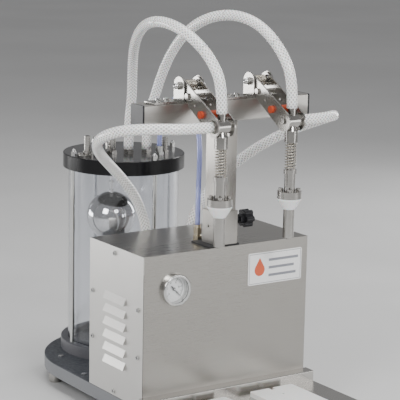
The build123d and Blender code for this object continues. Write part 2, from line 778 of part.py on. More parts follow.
with BuildPart() as lid_port:
    with BuildSketch(bottom_plane(LID_TOP)):
        with Locations(LID_PORT):
            Circle(16)
    extrude(amount=3)
    with BuildSketch(bottom_plane(LID_Z)):
        with Locations(LID_PORT):
            Circle(5)
    extrude(amount=405 - LID_Z)
    with BuildSketch(bottom_plane(LID_TOP + 3)):
        with Locations(LID_PORT):
            Circle(7)
    extrude(amount=5)
    with BuildSketch(bottom_plane(LID_TOP + 3)):
        with Locations(LID_PORT):
            with PolarLocations(12, 3, start_angle=30):
                Circle(2.4)
    extrude(amount=1.8)
    with BuildSketch(bottom_plane(LID_Z)):
        with Locations(LID_PORT):
            Circle(3.5)
    extrude(amount=60, mode=Mode.SUBTRACT)
lid_port.part.label = "lid_port"
export_step(lid_port.part, "parts/lid_port.step")

VALVE_FOOT = 340.0
VALVE_TOP = 405.0
LEVER_Z = 389.0

with BuildPart() as float_valve_body:
    with BuildSketch(bottom_plane(VALVE_FOOT)):
        with Locations(FLOAT_XY):
            Circle(6)
    extrude(amount=VALVE_TOP - VALVE_FOOT)
    fillet(float_valve_body.faces().sort_by(Axis.Z)[-1].edges(), 2)
    with BuildSketch(bottom_plane(LID_TOP)):
        with Locations(FLOAT_XY):
            RegularPolygon(9, 6)
    extrude(amount=5)
    with BuildSketch(bottom_plane(VALVE_FOOT)):
        with Locations(FLOAT_XY):
            Circle(2.075)
    extrude(amount=VALVE_TOP - VALVE_FOOT - 20, mode=Mode.SUBTRACT)
    with BuildSketch(Plane.YZ.offset(FLOAT_XY[0] - 7)):
        with Locations((FLOAT_XY[1], LEVER_Z)):
            Circle(1.5 + RUN)
    extrude(amount=5, mode=Mode.SUBTRACT)
float_valve_body.part.label = "float_valve_body"
export_step(float_valve_body.part, "parts/float_valve_body.step")

with BuildPart() as valve_lever:
    with BuildSketch(Plane.YZ.offset(FLOAT_XY[0] - 9)):
        with Locations((FLOAT_XY[1], LEVER_Z)):
            Circle(1.5)
    extrude(amount=6)
    with BuildSketch(Plane.YZ.offset(FLOAT_XY[0] - 11)):
        with Locations((FLOAT_XY[1], LEVER_Z)):
            Circle(2.6)
        with Locations((FLOAT_XY[1], LEVER_Z - 3.5)):
            RectangleRounded(3.4, 9, 1.2)
    extrude(amount=2.4)
valve_lever.part.label = "valve_lever"
export_step(valve_lever.part, "parts/valve_lever.step")

with BuildPart() as float_ball:
    with Locations((*FLOAT_XY, FLOAT_Z)):
        Sphere(FLOAT_R)
        Sphere(FLOAT_R - 1.2, mode=Mode.SUBTRACT)
        Cylinder(1, 2 * FLOAT_R + 4, align=(Align.CENTER, Align.CENTER, Align.MAX), mode=Mode.SUBTRACT)
    with BuildSketch(bottom_plane(FLOAT_Z + FLOAT_R - 1)):
        with Locations(FLOAT_XY):
            Circle(2)
    extrude(amount=59)
    with BuildSketch(bottom_plane(FLOAT_Z + FLOAT_R - 1)):
        with Locations(FLOAT_XY):
            Circle(4)
    extrude(amount=5)
    with BuildSketch(bottom_plane(325)):
        with Locations(FLOAT_XY):
            Circle(4.5)
    extrude(amount=2.5)
float_ball.part.label = "float_ball"
export_step(float_ball.part, "parts/float_ball.step")


# hexagonal hose tails: two in the lid, two in the product manifold
TAIL_HEX = 6.5
TAILS = [(x, y, LID_TOP, LID_TOP - LID_Z) for x, y in BARBS]
TAILS += [(x, MANIFOLD_Y, MANIFOLD_TOP - TAIL_HEX, 12) for x in MANIFOLD_BARBS]

with BuildPart() as hose_tails:
    for x, y, z, thread in TAILS:
        with BuildSketch(bottom_plane(z)):
            with Locations((x, y)):
                RegularPolygon(9, 6)
        extrude(amount=TAIL_HEX)
        with BuildSketch(bottom_plane(z - thread)):
            with Locations((x, y)):
                Circle(6)
        extrude(amount=thread)
        with BuildSketch(bottom_plane(z + TAIL_HEX)):
            with Locations((x, y)):
                Circle(STUB_R)
        extrude(amount=16)
        with BuildSketch(bottom_plane(z - thread)):
            with Locations((x, y)):
                Circle(3.2)
        extrude(amount=thread + TAIL_HEX + 16, mode=Mode.SUBTRACT)
hose_tails.part.label = "hose_tails"
export_step(hose_tails.part, "parts/hose_tails.step")

with BuildPart() as tube_fitting:
    with BuildSketch(bottom_plane(LID_TOP)):
        with Locations(PUSH_IN):
            RegularPolygon(8, 6)
    extrude(amount=8)
    with BuildSketch(bottom_plane(LID_Z)):
        with Locations(PUSH_IN):
            Circle(6)
    extrude(amount=390 - LID_Z)
    with BuildSketch(bottom_plane(LID_Z)):
        with Locations(PUSH_IN):
            Circle(2.7)
    extrude(amount=60, mode=Mode.SUBTRACT)
tube_fitting.part.label = "tube_fitting"
export_step(tube_fitting.part, "parts/tube_fitting.step")

with BuildPart() as relief_valve:
    with BuildSketch(bottom_plane(LID_TOP)):
        with Locations(RELIEF):
            RegularPolygon(6.6, 6)
    extrude(amount=6)
    with BuildSketch(bottom_plane(LID_Z)):
        with Locations(RELIEF):
            Circle(3.6)
    extrude(amount=400 - LID_Z)
    for i in range(5):
        with BuildSketch(bottom_plane(LID_TOP + 9 + 3.8 * i)):
            with Locations(RELIEF):
                Circle(4.9)
        extrude(amount=2)
relief_valve.part.label = "relief_valve"
export_step(relief_valve.part, "parts/relief_valve.step")

# ------------------------------------------------------------- services

with BuildPart() as port_fitting:
    with BuildSketch(bottom_plane(TOP)):
        with Locations(PORT_XY):
            RegularPolygon(7.5, 6)
    extrude(amount=7)
    with BuildSketch(bottom_plane(TOP - 14)):
        with Locations(PORT_XY):
            Circle(4.9)
    extrude(amount=PORT_TOP - TOP + 14)
    with BuildSketch(bottom_plane(TOP + 10)):
        with Locations(PORT_XY):
            RegularPolygon(6.8, 6)
    extrude(amount=9)
    with BuildSketch(bottom_plane(TOP - 14)):
        with Locations(PORT_XY):
            Circle(2.7)
    extrude(amount=PORT_TOP - TOP + 14, mode=Mode.SUBTRACT)
port_fitting.part.label = "port_fitting"
export_step(port_fitting.part, "parts/port_fitting.step")

with BuildPart() as product_manifold:
    with BuildSketch(bottom_plane(BASE_TOP)):
        with Locations((0, MANIFOLD_Y)):
            RectangleRounded(100, 28, 3)
        with Locations(*[(x, MANIFOLD_Y) for x in MANIFOLD_BARBS]):
            Circle(6.1, mode=Mode.SUBTRACT)
    extrude(amount=MANIFOLD_TOP - TAIL_HEX - BASE_TOP)
    # supply inlet on the right end
    with BuildSketch(Plane.YZ.offset(50)):
        with Locations((MANIFOLD_Y, 63)):
            Circle(11)
    extrude(amount=6)
    with BuildSketch(Plane.YZ.offset(56)):
        with Locations((MANIFOLD_Y, 63)):
            Circle(8)
    extrude(amount=30)
    with BuildSketch(Plane.YZ.offset(-40)):
        with Locations((MANIFOLD_Y, 63)):
            Circle(5)
    extrude(amount=130, mode=Mode.SUBTRACT)
product_manifold.part.label = "product_manifold"
export_step(product_manifold.part, "parts/product_manifold.step")

with BuildPart() as pump_head:
    with BuildSketch(bottom_plane(BASE_TOP)):
        with Locations((-90, MOTOR_Y)):
            RectangleRounded(58, 66, 5)
    extrude(amount=80)
    with BuildSketch(bottom_plane(BASE_TOP + 80)):
        with Locations((-100, MOTOR_Y), (-80, MOTOR_Y)):
            Circle(5)
    extrude(amount=14)
    with BuildSketch(Plane.YZ.offset(-61)):
        with Locations((MOTOR_Y, MOTOR_Z)):
            Circle(4 + RUN)
    extrude(amount=-20, mode=Mode.SUBTRACT)
pump_head.part.label = "pump_head"
export_step(pump_head.part, "parts/pump_head.step")

with BuildPart() as motor_body:
    with BuildSketch(Plane.YZ.offset(-61)):
        with Locations((MOTOR_Y, MOTOR_Z)):
            Circle(MOTOR_R)
    extrude(amount=100)
    with BuildSketch(bottom_plane(BASE_TOP)):
        with Locations((-11, MOTOR_Y)):
            RectangleRounded(70, 60, 4)
    extrude(amount=8)
    with BuildSketch(Plane.YZ.offset(-53)):
        with Locations((MOTOR_Y, MOTOR_Z)):
            Circle(MOTOR_R - 6)
    extrude(amount=84, mode=Mode.SUBTRACT)
    with BuildSketch(Plane.YZ.offset(-61)):
        with Locations((MOTOR_Y, MOTOR_Z)):
            Circle(4 + RUN)
    extrude(amount=100, mode=Mode.SUBTRACT)
motor_body.part.label = "motor_body"
export_step(motor_body.part, "parts/motor_body.step")

with BuildPart() as motor_rotor:
    with BuildSketch(Plane.YZ.offset(-78)):
        with Locations((MOTOR_Y, MOTOR_Z)):
            Circle(4)
    extrude(amount=135)
    with BuildSketch(Plane.YZ.offset(-44)):
        with Locations((MOTOR_Y, MOTOR_Z)):
            Circle(22)
    extrude(amount=66)
    with BuildSketch(Plane.YZ.offset(44)):
        with Locations((MOTOR_Y, MOTOR_Z)):
            Circle(9)
            for i in range(6):
                with Locations(Rotation(0, 0, 60 * i)):
                    with Locations((18, 0)):
                        Rectangle(22, 7)
    extrude(amount=9)
motor_rotor.part.label = "motor_rotor"
export_step(motor_rotor.part, "parts/motor_rotor.step")

with BuildPart() as power_module:
    with BuildSketch(Plane.XZ.offset(-BACK)):
        with Locations(POWER):
            RectangleRounded(34, 56, 3)
    extrude(amount=-3)
    with BuildSketch(Plane.XZ.offset(-BACK)):
        with Locations(POWER):
            Rectangle(27.6, 49.6)
    extrude(amount=26)
    with BuildSketch(Plane.XZ.offset(-BACK - 3)):
        with Locations((POWER[0], POWER[1] - 13)):
            Rectangle(22, 16)
    extrude(amount=18, mode=Mode.SUBTRACT)
    with BuildSketch(Plane.XZ.offset(-BACK - 3)):
        with Locations((POWER[0], ROCKER_Z)):
            Rectangle(14, 21.6)
    extrude(amount=20, mode=Mode.SUBTRACT)
    with BuildSketch(Plane.YZ.offset(POWER[0] - 9)):
        with Locations((BACK - 3, ROCKER_Z)):
            Circle(1.5 + RUN)
    extrude(amount=18, mode=Mode.SUBTRACT)
    for dx, dz in ((-7, -2), (7, -2), (0, 3)):
        with BuildSketch(Plane.XZ.offset(-BACK + 15)):
            with Locations((POWER[0] + dx, POWER[1] - 13 + dz)):
                Rectangle(2, 4)
        extrude(amount=-14)
power_module.part.label = "power_module"
export_step(power_module.part, "parts/power_module.step")

ROCKER_TILT = 6.0

with BuildPart() as rocker:
    with BuildSketch(Plane.YZ.offset(POWER[0] - 6.7)):
        with Locations(Location((BACK - 3, ROCKER_Z), ROCKER_TILT)):
            Circle(10.4)
            with Locations((11, 0)):
                Rectangle(8, 24, mode=Mode.SUBTRACT)
    extrude(amount=13.4)
    with BuildSketch(Plane.YZ.offset(POWER[0] - 8.5)):
        with Locations((BACK - 3, ROCKER_Z)):
            Circle(1.5)
    extrude(amount=17)
rocker.part.label = "rocker"
export_step(rocker.part, "parts/rocker.step")

# ---------------------------------------------------------------- hoses

ROUTES = {
    "vacuum_hose_left": [
        (-62.5, -196, 488.5),
        (-62.5, -196, 529),
        (-69, -174, 567),
        (-79, -137, 595),
        (-84, -95, 608),
        (-84, -51, 609),
        (-76, -8, 599),
        (-63, 31, 582),
        (-48, 66, 561),
        (-31, 98, 535),
        (-15, 125, 503),
        (-3, 145, 465),
        (-1, 157, 422),
        (-1, 157, 379),
    ],
    "vacuum_hose_right": [
        (62.5, -196, 488.5),
        (62.5, -196, 533),
        (56, -173, 573),
        (46, -137, 605),
        (36, -93, 617),
        (27, -47, 613),
        (23, -3, 598),
        (23, 37, 575),
        (25, 73, 545),
        (28, 103, 510),
        (30, 127, 470),
        (27, 146.5, 425),
        (27, 146.5, 379),
    ],
    "product_hose_left": [
        (-80.5, -196, 470),
        (-123, -196, 470),
        (-164, -177, 471),
        (-192, -139, 466),
        (-199, -96, 452),
        (-188, -57, 434),
        (-163, -25, 412),
        (-131, -3, 388),
        (-98, 13, 361),
        (-68, 25, 329),
        (-46, 34, 290),
        (-34, 40, 246),
        (-29, 42, 201),
        (-26, 42, 155),
        (-27, 40, 120),
        (-27, 40, 90),
    ],
    "product_hose_right": [
        (80.5, -196, 470),
        (120, -196, 470),
        (156, -180, 470),
        (177, -147, 463),
        (174, -112, 450),
        (155, -82, 436),
        (132, -55, 417),
        (110, -28, 394),
        (89, 2, 363),
        (69, 24, 330),
        (51, 38, 290),
        (38, 43, 246),
        (32, 42, 201),
        (28, 41, 155),
        (30, 40, 120),
        (30, 40, 90),
    ],
    "blue_tube": [
        (-16, -71, 298.5),
        (-16, -71, 330),
        (-8, -60, 362),
        (4, -44, 393),
        (15, -26, 420),
        (25, -4, 444),
        (32, 22, 464),
        (35, 50, 475),
        (33, 76, 470),
        (28, 94, 450),
        (26, 106, 420),
        (26, 106, 390),
    ],
}


def corner_radii(points):
    """The largest arc for each corner that leaves both of its runs a straight tenth."""
    found = []
    for before, at, after in zip(points, points[1:], points[2:]):
        run_in = Vector(*at) - Vector(*before)
        run_out = Vector(*after) - Vector(*at)
        turn = radians(run_in.get_angle(run_out))
        found.append(0.45 * min(run_in.length, run_out.length) / tan(turn / 2))
    return found


for name, points in ROUTES.items():
    outer, inner = (BLUE_R, BLUE_BORE) if name == "blue_tube" else (HOSE_R, HOSE_BORE)
    radii = corner_radii(points)
    with BuildPart() as hose:
        with BuildLine() as route:
            FilletPolyline(*points, radius=radii)
        with BuildSketch(Plane(route.line @ 0, z_dir=route.line % 0)):
            Circle(outer)
            Circle(inner, mode=Mode.SUBTRACT)
        sweep(path=route.line)
    hose.part.label = name
    export_step(hose.part, f"parts/{name}.step")
    length = sum(edge.length for edge in route.edges())
    expected = (outer**2 - inner**2) * 3.14159 * length
    print(f"{name}: length {length:.0f}, tightest {min(radii):.0f},", end=" ")
    print(f"volume {hose.part.volume / expected:.4f} of section x length")
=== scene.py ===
"""Looks of a two-spout bench vacuum bottle filler, in metres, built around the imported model."""

from math import cos, pi, radians, sin

import bmesh
import bpy
import numpy as np
from mathutils import Matrix, Vector


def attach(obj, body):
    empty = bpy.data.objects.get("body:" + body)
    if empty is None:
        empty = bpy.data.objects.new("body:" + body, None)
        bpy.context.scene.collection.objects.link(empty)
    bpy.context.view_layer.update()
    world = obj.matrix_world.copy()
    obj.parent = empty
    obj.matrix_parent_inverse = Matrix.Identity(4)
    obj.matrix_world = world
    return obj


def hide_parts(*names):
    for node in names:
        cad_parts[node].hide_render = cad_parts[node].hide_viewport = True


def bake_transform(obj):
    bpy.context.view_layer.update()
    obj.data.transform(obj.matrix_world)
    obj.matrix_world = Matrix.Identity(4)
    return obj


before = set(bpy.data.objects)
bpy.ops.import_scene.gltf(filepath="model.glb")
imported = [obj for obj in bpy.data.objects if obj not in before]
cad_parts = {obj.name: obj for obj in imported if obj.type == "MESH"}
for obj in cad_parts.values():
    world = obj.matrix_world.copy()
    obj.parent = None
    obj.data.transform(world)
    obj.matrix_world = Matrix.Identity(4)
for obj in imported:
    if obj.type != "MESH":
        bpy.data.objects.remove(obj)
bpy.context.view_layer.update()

MM = 0.001

# ------------------------------------------------------------------ camera

YAW, PITCH, ROLL = radians(34.09), radians(11.48), radians(1.157)
EYE = Vector((-1.3831, -2.0963, 0.8327))
SENSOR = 36.0
FOCAL = 147.7


def add_camera():
    """A long lens in front of the machine's left corner, a little above it."""
    level = Vector((cos(YAW), -sin(YAW), 0))
    ahead = Vector((sin(YAW) * cos(PITCH), cos(YAW) * cos(PITCH), -sin(PITCH)))
    above = level.cross(ahead)
    across = cos(ROLL) * level + sin(ROLL) * above
    up = cos(ROLL) * above - sin(ROLL) * level
    data = bpy.data.cameras.new("camera")
    data.sensor_width = SENSOR
    data.lens = FOCAL
    data.clip_start = 0.05
    data.clip_end = 40
    camera = bpy.data.objects.new("camera", data)
    turn = Matrix((across, up, -ahead)).transposed()
    camera.matrix_world = Matrix.Translation(EYE) @ turn.to_4x4()
    bpy.context.collection.objects.link(camera)
    bpy.context.scene.camera = camera


add_camera()

# ------------------------------------------------------- shared node groups


def new_group(name, inputs, outputs):
    """An empty node group with named sockets, and its input and output nodes."""
    tree = bpy.data.node_groups.new(name, "ShaderNodeTree")
    for label, kind, value in inputs:
        socket = tree.interface.new_socket(label, in_out="INPUT", socket_type=kind)
        socket.default_value = value
    for label, kind in outputs:
        tree.interface.new_socket(label, in_out="OUTPUT", socket_type=kind)
    return tree, tree.nodes.new("NodeGroupInput"), tree.nodes.new("NodeGroupOutput")


def math_node(tree, kind, a, b=None, clamp=False):
    """A Math node whose inputs are sockets or plain numbers."""
    node = tree.nodes.new("ShaderNodeMath")
    node.operation = kind
    node.use_clamp = clamp
    for socket, value in zip(node.inputs, (a, b)):
        if isinstance(value, (int, float)):
            socket.default_value = value
        elif value is not None:
            tree.links.new(value, socket)
    return node.outputs[0]


def noise_node(tree, vector, scale, detail, rough=0.5):
    """A noise texture over the given coordinates."""
    node = tree.nodes.new("ShaderNodeTexNoise")
    node.inputs["Scale"].default_value = scale
    node.inputs["Detail"].default_value = detail
    node.inputs["Roughness"].default_value = rough
    tree.links.new(vector, node.inputs["Vector"])
    return node.outputs["Fac"]


def remap(tree, value, low, high, to_low, to_high, smooth=False):
    """A Map Range node from low..high to to_low..to_high."""
    node = tree.nodes.new("ShaderNodeMapRange")
    if smooth:
        node.interpolation_type = "SMOOTHSTEP"
    tree.links.new(value, node.inputs["Value"])
    labels = ("From Min", "From Max", "To Min", "To Max")
    for label, number in zip(labels, (low, high, to_low, to_high)):
        if isinstance(number, (int, float)):
            node.inputs[label].default_value = number
        else:
            tree.links.new(number, node.inputs[label])
    return node.outputs["Result"]


def surface_grain_group():
    """Fine lines or specks, and broad smudges, over the object's own coordinates."""
    tree, given, result = new_group(
        "surface_grain",
        [("Stretch", "NodeSocketVector", (40, 40, 40)), ("Smudge Scale", "NodeSocketFloat", 9)],
        [("Grain", "NodeSocketFloat"), ("Smudge", "NodeSocketFloat")],
    )
    place = tree.nodes.new("ShaderNodeTexCoord").outputs["Object"]
    stretched = tree.nodes.new("ShaderNodeVectorMath")
    stretched.operation = "MULTIPLY"
    tree.links.new(place, stretched.inputs[0])
    tree.links.new(given.outputs["Stretch"], stretched.inputs[1])
    grain = noise_node(tree, stretched.outputs[0], 1.0, 3, 0.6)
    smudge = tree.nodes.new("ShaderNodeTexNoise")
    smudge.inputs["Detail"].default_value = 4
    tree.links.new(place, smudge.inputs["Vector"])
    tree.links.new(given.outputs["Smudge Scale"], smudge.inputs["Scale"])
    tree.links.new(remap(tree, grain, 0.3, 0.7, 0, 1), result.inputs["Grain"])
    patches = remap(tree, smudge.outputs["Fac"], 0.35, 0.65, 0, 1, True)
    tree.links.new(patches, result.inputs["Smudge"])
    return tree


def dust_group():
    """A mask of fine dust that settles on faces turned upwards."""
    tree, given, result = new_group(
        "settled_dust",
        [("Amount", "NodeSocketFloat", 0.3), ("Speck Scale", "NodeSocketFloat", 120)],
        [("Dust", "NodeSocketFloat")],
    )
    place = tree.nodes.new("ShaderNodeTexCoord").outputs["Object"]
    normal = tree.nodes.new("ShaderNodeSeparateXYZ")
    tree.links.new(tree.nodes.new("ShaderNodeNewGeometry").outputs["Normal"], normal.inputs[0])
    upward = remap(tree, normal.outputs["Z"], 0.5, 0.95, 0, 1, True)
    specks = tree.nodes.new("ShaderNodeTexNoise")
    specks.inputs["Detail"].default_value = 5
    specks.inputs["Roughness"].default_value = 0.7
    tree.links.new(place, specks.inputs["Vector"])
    tree.links.new(given.outputs["Speck Scale"], specks.inputs["Scale"])
    patches = noise_node(tree, place, 14, 2)
    fine = remap(tree, specks.outputs["Fac"], 0.45, 0.75, 0, 1)
    settled = math_node(tree, "MULTIPLY", math_node(tree, "MULTIPLY", fine, patches), upward)
    mask = math_node(tree, "MULTIPLY", settled, given.outputs["Amount"], True)
    tree.links.new(mask, result.inputs["Dust"])
    return tree


def braid_group():
    """Two crossing sets of threads along a hose, from its unrolled coordinates."""
    tree, given, result = new_group(
        "hose_braid",
        [
            ("Threads Round", "NodeSocketFloat", 12),
            ("Threads Per Metre", "NodeSocketFloat", 130),
            ("Thread Share", "NodeSocketFloat", 0.3),
        ],
        [("Thread", "NodeSocketFloat"), ("Crossing", "NodeSocketFloat")],
    )
    unrolled = tree.nodes.new("ShaderNodeSeparateXYZ")
    tree.links.new(tree.nodes.new("ShaderNodeTexCoord").outputs["UV"], unrolled.inputs[0])
    around = math_node(tree, "MULTIPLY", unrolled.outputs["X"], given.outputs["Threads Round"])
    along = math_node(tree, "MULTIPLY", unrolled.outputs["Y"], given.outputs["Threads Per Metre"])
    threads = []
    for kind in ("ADD", "SUBTRACT"):
        wrapped = math_node(tree, "FRACT", math_node(tree, kind, around, along))
        middle = math_node(tree, "ABSOLUTE", math_node(tree, "SUBTRACT", wrapped, 0.5))
        soft = math_node(tree, "ADD", given.outputs["Thread Share"], 0.12)
        inside = remap(tree, middle, given.outputs["Thread Share"], soft, 1, 0, True)
        threads.append(inside)
    tree.links.new(math_node(tree, "MAXIMUM", *threads), result.inputs["Thread"])
    tree.links.new(math_node(tree, "MULTIPLY", *threads), result.inputs["Crossing"])
    return tree


GRAIN = surface_grain_group()
DUST = dust_group()
BRAID = braid_group()

# ---------------------------------------------------------------- materials

# Stretch of the grain along X, Y and Z: a small number draws it out into lines
ACROSS = (25, 1900, 1900)
BACKWARD = (1900, 25, 1900)
UPWARD = (1900, 1900, 25)
TURNED = (30, 30, 2600)
EVEN = (420, 420, 420)


def start_material(name, **sockets):
    """A material with a Principled BSDF whose plain sockets are set directly."""
    material = bpy.data.materials.new(name)
    material.use_nodes = True
    tree = material.node_tree
    shader = tree.nodes["Principled BSDF"]
    for label, value in sockets.items():
        shader.inputs[label.replace("_", " ")].default_value = value
    return material, tree, shader


def place_group(tree, group, **values):
    """Places a shared group in a material with its own values."""
    node = tree.nodes.new("ShaderNodeGroup")
    node.node_tree = group
    for label, value in values.items():
        node.inputs[label.replace("_", " ")].default_value = value
    return node.outputs


def mix_colours(tree, mask, low, high):
    """Mixes two colours by a mask. A colour may be a socket or three numbers."""
    node = tree.nodes.new("ShaderNodeMix")
    node.data_type = "RGBA"
    tree.links.new(mask, node.inputs["Factor"])
    for socket, value in zip((node.inputs[6], node.inputs[7]), (low, high)):
        if isinstance(value, (tuple, list)):
            socket.default_value = (*value, 1)
        else:
            tree.links.new(value, socket)
    return node.outputs[2]


def add_bump(tree, shader, height, distance, strength):
    """Feeds a height through a Bump node into the shader's normal."""
    node = tree.nodes.new("ShaderNodeBump")
    node.inputs["Distance"].default_value = distance
    node.inputs["Strength"].default_value = strength
    tree.links.new(height, node.inputs["Height"])
    tree.links.new(node.outputs["Normal"], shader.inputs["Normal"])


def metal(name, dark, light, rough, stretch, smudge, bump, dust=0.0):
    """Bare metal: brushed lines or turned rings, with broad handling smudges."""
    material, tree, shader = start_material(name, Metallic=1.0)
    grain = place_group(tree, GRAIN, Stretch=stretch, Smudge_Scale=smudge)
    blend = math_node(
        tree, "ADD",
        math_node(tree, "MULTIPLY", grain["Grain"], 0.55),
        math_node(tree, "MULTIPLY", grain["Smudge"], 0.45),
    )
    colour = mix_colours(tree, blend, dark, light)
    if dust:
        specks = place_group(tree, DUST, Amount=dust, Speck_Scale=160.0)
        colour = mix_colours(tree, specks["Dust"], colour, (0.55, 0.54, 0.52))
    tree.links.new(colour, shader.inputs["Base Color"])
    tree.links.new(remap(tree, blend, 0, 1, *rough), shader.inputs["Roughness"])
    add_bump(tree, shader, grain["Grain"], 0.0002, bump)
    return material


def moulded(name, dark, light, rough, bump, dust=0.0, smudge=12.0, **sockets):
    """Moulded or machined plastic and rubber, with a fine texture of its own."""
    material, tree, shader = start_material(name, **sockets)
    grain = place_group(tree, GRAIN, Stretch=EVEN, Smudge_Scale=smudge)
    blend = math_node(
        tree, "ADD",
        math_node(tree, "MULTIPLY", grain["Grain"], 0.4),
        math_node(tree, "MULTIPLY", grain["Smudge"], 0.6),
    )
    colour = mix_colours(tree, blend, dark, light)
    if dust:
        specks = place_group(tree, DUST, Amount=dust, Speck_Scale=260.0)
        colour = mix_colours(tree, specks["Dust"], colour, (0.5, 0.5, 0.5))
    tree.links.new(colour, shader.inputs["Base Color"])
    tree.links.new(remap(tree, blend, 0, 1, *rough), shader.inputs["Roughness"])
    add_bump(tree, shader, grain["Grain"], 0.0002, bump)
    return material


def clear(name, tint, rough, ior):
    """Clear plastic with faint handling smudges in its gloss."""
    material, tree, shader = start_material(
        name, Transmission_Weight=1.0, Metallic=0.0, IOR=ior
    )
    grain = place_group(tree, GRAIN, Stretch=(60, 60, 4), Smudge_Scale=14.0)
    lighter = tuple(min(1.0, part * 1.02) for part in tint)
    colour = mix_colours(tree, grain["Smudge"], tint, lighter)
    tree.links.new(colour, shader.inputs["Base Color"])
    gloss = remap(tree, grain["Grain"], 0, 1, *rough)
    tree.links.new(gloss, shader.inputs["Roughness"])
    return material


def braided_hose():
    """Milky soft hose with a woven thread reinforcement inside its wall."""
    material, tree, shader = start_material(
        "braided_hose", Subsurface_Weight=0.1, Subsurface_Scale=0.004, IOR=1.5,
        Coat_Weight=0.5, Coat_Roughness=0.08,
    )
    braid = place_group(
        tree, BRAID, Threads_Round=9.0, Threads_Per_Metre=150.0, Thread_Share=0.15
    )
    grain = place_group(tree, GRAIN, Stretch=(90, 90, 90), Smudge_Scale=22.0)
    milky = mix_colours(tree, grain["Smudge"], (0.45, 0.45, 0.435), (0.56, 0.56, 0.54))
    threaded = mix_colours(tree, braid["Thread"], milky, (0.97, 0.97, 0.96))
    crossed = mix_colours(tree, braid["Crossing"], threaded, (1.0, 1.0, 0.99))
    tree.links.new(crossed, shader.inputs["Base Color"])
    tree.links.new(remap(tree, braid["Thread"], 0, 1, 0.24, 0.36), shader.inputs["Roughness"])
    add_bump(tree, shader, braid["Thread"], 0.0002, 0.12)
    return material


def slab_finish(name, top, side, rough, dust):
    """A machined slab whose cut edges are lighter than its broad faces."""
    material, tree, shader = start_material(name)
    normal = tree.nodes.new("ShaderNodeSeparateXYZ")
    tree.links.new(tree.nodes.new("ShaderNodeNewGeometry").outputs["Normal"], normal.inputs[0])
    flat = remap(tree, math_node(tree, "ABSOLUTE", normal.outputs["Z"]), 0.3, 0.8, 0, 1, True)
    grain = place_group(tree, GRAIN, Stretch=(220, 220, 900), Smudge_Scale=7.0)
    cut = mix_colours(tree, grain["Grain"], side, tuple(part * 1.25 for part in side))
    broad = mix_colours(tree, grain["Smudge"], top, tuple(part * 1.35 for part in top))
    specks = place_group(tree, DUST, Amount=dust, Speck_Scale=220.0)
    colour = mix_colours(tree, flat, cut, broad)
    colour = mix_colours(tree, specks["Dust"], colour, (0.4, 0.41, 0.42))
    tree.links.new(colour, shader.inputs["Base Color"])
    tree.links.new(remap(tree, grain["Grain"], 0, 1, *rough), shader.inputs["Roughness"])
    add_bump(tree, shader, grain["Grain"], 0.0002, 0.12)
    return material


# Each row: darker colour, lighter colour, roughness, grain, smudge scale, bump, dust
METALS = {
    "housing_steel": (
        (0.37, 0.355, 0.33), (0.41, 0.395, 0.37), (0.26, 0.32),
        ACROSS, 4.0, 0.015, 0.1,
    ),
    "cover_steel": ((0.58, 0.57, 0.55), (0.62, 0.61, 0.59), (0.34, 0.4), BACKWARD, 4.0, 0.015),
    "tray_steel": (
        (0.5, 0.485, 0.46), (0.56, 0.545, 0.52), (0.18, 0.28),
        ACROSS, 5.0, 0.02, 0.15,
    ),
    "post_steel": ((0.33, 0.315, 0.295), (0.42, 0.405, 0.38), (0.26, 0.34), UPWARD, 7.0, 0.03),
    "bar_steel": (
        (0.38, 0.365, 0.345), (0.46, 0.445, 0.42), (0.26, 0.34),
        ACROSS, 7.0, 0.03, 0.15,
    ),
    "plate_steel": ((0.35, 0.34, 0.32), (0.45, 0.435, 0.415), (0.24, 0.32), EVEN, 18.0, 0.01),
    "turned_steel": ((0.36, 0.35, 0.33), (0.5, 0.485, 0.465), (0.13, 0.22), TURNED, 20.0, 0.03),
    "mirror_steel": ((0.66, 0.65, 0.635), (0.76, 0.75, 0.735), (0.05, 0.13), EVEN, 16.0, 0.02),
    "plated_steel": ((0.56, 0.56, 0.55), (0.66, 0.66, 0.65), (0.12, 0.2), EVEN, 30.0, 0.01),
    "spring_wire": ((0.42, 0.39, 0.34), (0.6, 0.56, 0.48), (0.2, 0.34), EVEN, 60.0, 0.08),
    "nickel_brass": ((0.62, 0.53, 0.38), (0.78, 0.7, 0.55), (0.14, 0.28), TURNED, 40.0, 0.06),
    "cast_metal": ((0.2, 0.2, 0.205), (0.32, 0.32, 0.325), (0.45, 0.65), EVEN, 25.0, 0.4),
}

# Each row: colour of the broad faces, colour of the cut edges, roughness, dust
SLABS = {
    "base_slab": ((0.028, 0.032, 0.04), (0.15, 0.155, 0.165), (0.42, 0.6), 0.35),
    "ring_slab": ((0.05, 0.052, 0.06), (0.085, 0.085, 0.095), (0.3, 0.45), 0.2),
}

